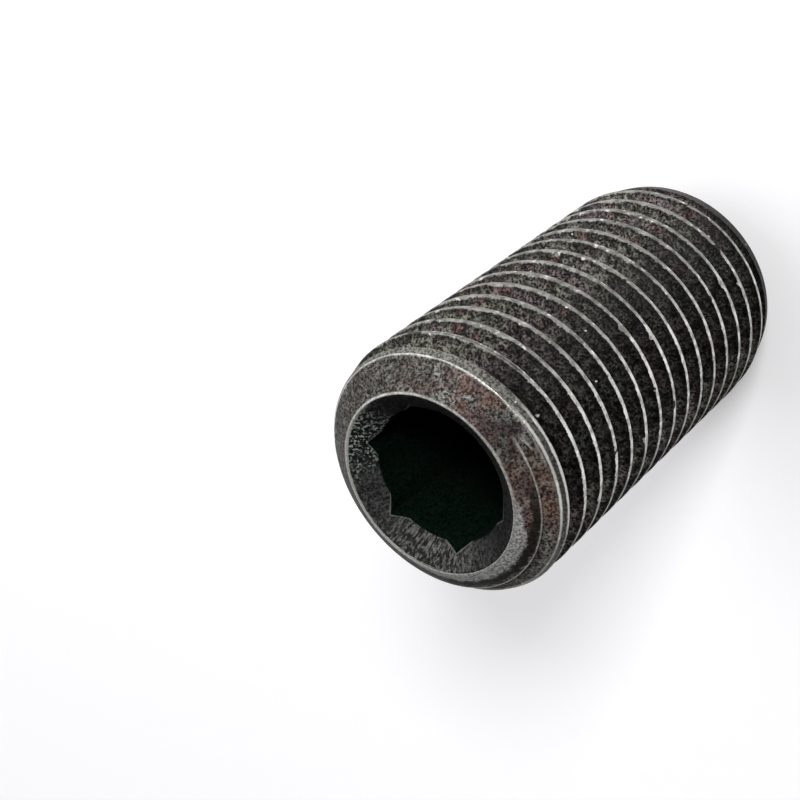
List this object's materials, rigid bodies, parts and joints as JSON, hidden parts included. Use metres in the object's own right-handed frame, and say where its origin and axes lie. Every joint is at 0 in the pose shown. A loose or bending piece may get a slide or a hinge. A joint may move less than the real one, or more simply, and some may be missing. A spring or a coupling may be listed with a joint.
{
  "type": "grub set screw",
  "caption": "Headless set screw, threaded over its full length, with a hexagon socket in one end and a knurled cup point on the other.",
  "frame": {"origin": "centre of the cup rim, on the screw's axis; the screw stands on its cup point at Z = 0", "axes": "+Z along the screw's axis, from the cup point up to the hexagon socket; +X towards one corner of the hexagon"},
  "size_m": [0.0096, 0.0096, 0.0189],
  "materials": {
    "black_oxide_steel": "black oxide on heat-treated alloy steel, crests worn to bare grey"
  },
  "bodies": {
    "root": {"set_screw": "black_oxide_steel"}
  },
  "joints": []
}
